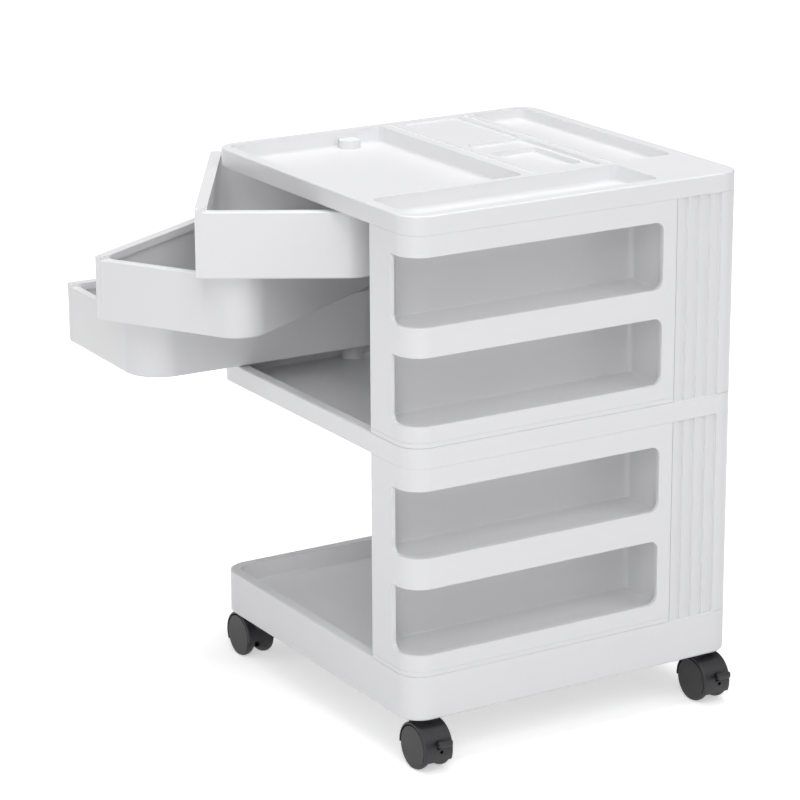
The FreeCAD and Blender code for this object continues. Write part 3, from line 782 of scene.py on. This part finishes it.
# Casters: black nylon twin-wheel swivel casters. A round hood with a web inside carries a
# steel axle, and a steel stem in a sleeve lets it swivel. The two at the pocket side have a
# brake lever whose thumb tab stands out of the hood.
axle_drop = 32.0
trail = 16.0
hood_radius = 27.0
hood_half = 17.0
hood_round = 2.0
hood_edge_round = 0.45
neck_radius = 9.5
neck_top = 29.7
neck_round = 0.8
skirt_start = 6.5
wheel_room = 24.5
web_half = 4.0
room_end = 22.0
axle_radius = 3.0
axle_bore = 3.05
axle_half = 13.7
axle_end_round = 0.3
axle_reach = 17.5
stem_bore_low = 24.0
cut_reach = 40.0
stem_bore = 5.55
hole_x = 2.5
hole_radius = 2.0
pin_y = -17.0
pin_z = 10.0
pin_radius = 1.5
pin_half = 4.0
lever_half = 2.5
lever_barrel = 3.0
lever_bore = 1.55
slot_half = 2.9
slot_barrel = 3.4
tab_left = -4.0
tab_right = 12.0
tab_front = -34.0
tab_back = -28.5
tab_low = 7.2
tab_high = 13.5
root_half = 2.3
root_low = 8.2
root_high = 11.8
root_front = -30.5
lever_edge_round = 0.5


def nylon(name, dark, light, gloss, grain_size):
    """Dark moulded nylon: fine dimpled grain, faint cloudiness and soft gloss."""
    material, nodes, links = node_tree(name)
    place = nodes.new("ShaderNodeTexCoord")
    shader = nodes.new("ShaderNodeBsdfPrincipled")
    out = nodes.new("ShaderNodeOutputMaterial")
    cloud = nodes.new("ShaderNodeTexNoise")
    cloud.inputs["Scale"].default_value = 120.0
    cloud.inputs["Detail"].default_value = 5.0
    tint = nodes.new("ShaderNodeMix")
    tint.data_type = "RGBA"
    tint.inputs["A"].default_value = (dark, dark * 0.98, dark * 1.14, 1.0)
    tint.inputs["B"].default_value = (light, light * 0.98, light * 1.13, 1.0)
    grain = nodes.new("ShaderNodeTexVoronoi")
    grain.inputs["Scale"].default_value = grain_size
    relief = nodes.new("ShaderNodeBump")
    relief.inputs["Strength"].default_value = 0.18
    relief.inputs["Distance"].default_value = 0.0001
    rough = nodes.new("ShaderNodeMapRange")
    rough.inputs["To Min"].default_value = gloss - 0.06
    rough.inputs["To Max"].default_value = gloss + 0.08
    links.new(place.outputs["Object"], cloud.inputs["Vector"])
    links.new(place.outputs["Object"], grain.inputs["Vector"])
    links.new(cloud.outputs["Fac"], tint.inputs["Factor"])
    links.new(cloud.outputs["Fac"], rough.inputs["Value"])
    links.new(grain.outputs["Distance"], relief.inputs["Height"])
    links.new(tint.outputs["Result"], shader.inputs["Base Color"])
    links.new(rough.outputs["Result"], shader.inputs["Roughness"])
    links.new(relief.outputs["Normal"], shader.inputs["Normal"])
    links.new(shader.outputs[0], out.inputs["Surface"])
    return material


def crossbar(x0, x1, y, z, radius, segments=64):
    """Round bar that lies along X."""
    bar = drum(0, 0, x0, x1, radius, segments)
    bmesh.ops.rotate(bar, cent=(0, 0, 0), matrix=Matrix.Rotation(math.radians(90), 3, "Y"),
                     verts=bar.verts)
    bmesh.ops.translate(bar, vec=(0, y, z), verts=bar.verts)
    return bar


def side_block(points, x0, x1):
    """Solid with a (y, z) outline between two places along X."""
    block = upright_block(points, x0, x1, arc=5)
    for about in ("Z", "Y"):
        bmesh.ops.rotate(block, cent=(0, 0, 0), verts=block.verts,
                         matrix=Matrix.Rotation(math.radians(90), 3, about))
    return block


def put_caster(block, x, y, facing):
    """Move a part drawn round the axle to its place; the back casters trail the other way."""
    bmesh.ops.translate(block, vec=(0, -trail, -axle_drop), verts=block.verts)
    if facing > 0:
        bmesh.ops.rotate(block, cent=(0, 0, 0), matrix=Matrix.Rotation(math.pi, 3, "Z"),
                         verts=block.verts)
    bmesh.ops.translate(block, vec=(x, y, 0), verts=block.verts)
    return block


def caster_hood(braked):
    """Round hood with its neck, open below and behind, with room for a wheel beside the web."""
    beyond = axle_drop
    hood = crossbar(-hood_half, hood_half, 0, 0, hood_radius, 96)
    rims = [edge for edge in hood.edges if edge.calc_face_angle(0.0) > 0.6]
    bmesh.ops.bevel(hood, geom=rims, offset=hood_round, affect="EDGES", segments=5, profile=0.5,
                    material=-1)
    neck = soften(drum(0, trail, 0, neck_top, neck_radius), neck_top, neck_round, 2)
    under = side_block([(-beyond, -11, 0), (-beyond, -beyond, 0), (beyond, -beyond, 0),
                        (beyond, 0, 0), (18, -3, 0), (3, -11, 3)], -2 * hood_half, 2 * hood_half)
    hood = combine(hood, under)
    hood = combine(hood, neck, how="UNION")
    hood = combine(hood, crossbar(web_half, room_end, 0, 0, wheel_room, 96),
                   crossbar(-room_end, -web_half, 0, 0, wheel_room, 96))
    skirt = combine(upright_block(rect(-beyond, skirt_start, beyond, beyond), -beyond, 0),
                    crossbar(-cut_reach, cut_reach, 0, 0, hood_radius, 96))
    hood = combine(hood, skirt, drum(0, trail, stem_bore_low, cut_reach, stem_bore, 32),
                   crossbar(-axle_reach, axle_reach, 0, 0, axle_bore, 32))
    hole = drum(hole_x, 0, -beyond - lap, -hood_radius + 2 * axle_radius, hole_radius, 20)
    bmesh.ops.rotate(hole, cent=(0, 0, 0), matrix=Matrix.Rotation(math.radians(-90), 3, "X"),
                     verts=hole.verts)
    hood = combine(hood, hole)
    if braked:
        slot = side_block([(-beyond, 1.84, 0), (pin_y, 6, 0), (pin_y, 12.4, 0), (-beyond, 12.4, 0)],
                          -slot_half, slot_half)
        hood = combine(hood, slot, crossbar(-slot_half, slot_half, pin_y, pin_z, slot_barrel, 32),
                       crossbar(-pin_half, pin_half, pin_y, pin_z, pin_radius, 24))
    return hood


def caster_wheel(side):
    """Turned outline: hollow inner side with a hub, crowned tread, flat face inside a rim line."""
    outline = [(14, 0), (14, 3.05), (4.5, 3.05), (4.5, 6.5), (9, 7.2), (9.4, 17.0), (4.6, 17.4),
               (4.5, 18.4), (4.8, 19.3), (5.8, 20.6), (7.2, 21.9), (8.8, 23.0), (10.6, 23.75),
               (12.2, 24), (14.0, 24), (14.9, 23.8), (15.2, 23.4), (15.2, 23.1), (16.6, 23.0),
               (16.9, 22.8), (17, 22.4), (17, 12), (17, 0)]
    wheel = bmesh.new()
    ring = [wheel.verts.new((x, 0, z)) for x, z in outline]
    edges = [wheel.edges.new(pair) for pair in zip(ring, ring[1:])]
    bmesh.ops.spin(wheel, geom=edges, cent=(0, 0, 0), axis=(1, 0, 0), angle=math.tau, steps=80,
                   use_merge=True)
    bmesh.ops.remove_doubles(wheel, verts=wheel.verts, dist=0.001)
    if side < 0:
        bmesh.ops.scale(wheel, vec=(-1, 1, 1), verts=wheel.verts)
    bmesh.ops.recalc_face_normals(wheel, faces=wheel.faces)
    return wheel


def brake_lever():
    """Thumb tab with rounded corners on a short root, with a barrel that turns on the pin."""
    tab = side_block([(tab_front, tab_low, 1.5), (tab_back, tab_low, 0), (tab_back, tab_high, 0),
                      (tab_front, tab_high, 2.4)], tab_left, tab_right)
    tab_rounding = upright_block([(tab_left, tab_front - lap, 4), (tab_right, tab_front - lap, 2),
                                  (tab_right, tab_back + lap, 0), (tab_left, tab_back + lap, 0)],
                                 tab_low - lap, tab_high + lap)
    tab = combine(tab, tab_rounding, how="INTERSECT")
    root = side_block([(root_front, root_low, 0), (pin_y, root_low, 0), (pin_y, root_high, 0),
                       (root_front, root_high, 0)], -root_half, root_half)
    barrel = crossbar(-lever_half, lever_half, pin_y, pin_z, lever_barrel, 32)
    lever = combine(tab, root, barrel, how="UNION")
    return combine(lever, crossbar(-tab_right, tab_right, pin_y, pin_z, lever_bore, 24))


hood_black = nylon("hood_black", 0.013, 0.020, 0.42, 1500.0)
wheel_black = nylon("wheel_black", 0.012, 0.019, 0.46, 1200.0)
caster_places = {"front_left": (-caster_x, -caster_y, -1), "front_right": (caster_x, -caster_y, -1),
                 "back_left": (-caster_x, caster_y, 1), "back_right": (caster_x, caster_y, 1)}
for name, (x, y, facing) in caster_places.items():
    body = "caster_" + name
    braked = facing < 0
    moulded_piece("hood_" + name, put_caster(caster_hood(braked), x, y, facing), body,
                  hood_black, ["caster_housing_" + name], hood_edge_round)
    axle = drum(0, 0, -axle_half, axle_half, axle_radius, 32)
    soften(axle, axle_half, axle_end_round, 2)
    bmesh.ops.rotate(axle, cent=(0, 0, 0), matrix=Matrix.Rotation(math.radians(90), 3, "Y"),
                     verts=axle.verts)
    moulded_piece("axle_" + name, put_caster(axle, x, y, facing), body, steel,
                  ["caster_axle_" + name], 0)
    for side, word in ((-1, "left"), (1, "right")):
        moulded_piece("wheel_%s_%s" % (word, name), put_caster(caster_wheel(side), x, y, facing),
                      "wheel_%s_%s" % (word, name), wheel_black,
                      ["caster_wheel_%s_%s" % (word, name)], 0)
    if braked:
        moulded_piece("lever_" + name, put_caster(brake_lever(), x, y, facing), "lever_" + name,
                      hood_black, ["brake_lever_" + name], lever_edge_round)
        pin = crossbar(-pin_half, pin_half, pin_y, pin_z, pin_radius, 24)
        moulded_piece("brake_pin_bar_" + name, put_caster(pin, x, y, facing), body, steel,
                      ["brake_pin_" + name], 0)


# Stems and sleeves: bright steel stems, each with a collar above the hood, in black sleeves
# that are pressed into the base tray's bosses.
stem_radius = 5.5
stem_foot = 24.3
stem_top = 51.0
stem_end_round = 1.5
collar_radius = 9.0
collar_low = 30.0
collar_high = 31.95
sleeve_radius = 7.05
stem_edge_round = 0.3
sleeve_edge_round = 0.2
stems, sleeves = bmesh.new(), bmesh.new()
for x, y, facing in caster_places.values():
    shank = soften(drum(0, trail, stem_foot, stem_top, stem_radius, 40), stem_top, stem_end_round, 4)
    stem = combine(shank, drum(0, trail, collar_low, collar_high, collar_radius), how="UNION")
    sleeve = combine(drum(0, trail, axle_drop, stem_top, sleeve_radius, 40),
                     drum(0, trail, axle_drop - overrun, stem_top + overrun, stem_bore, 40))
    for whole, part in ((stems, stem), (sleeves, sleeve)):
        put_caster(part, x, y, facing)
        data = bpy.data.meshes.new("working")
        part.to_mesh(data)
        part.free()
        whole.from_mesh(data)
        bpy.data.meshes.remove(data)
moulded_piece("caster_stem_bars", stems, "cart", steel, ["caster_stems"], stem_edge_round)
moulded_piece("caster_sleeve_rings", sleeves, "cart", hood_black,
              ["caster_sleeves"], sleeve_edge_round)


# Size: the dressed model's box.
low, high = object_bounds()
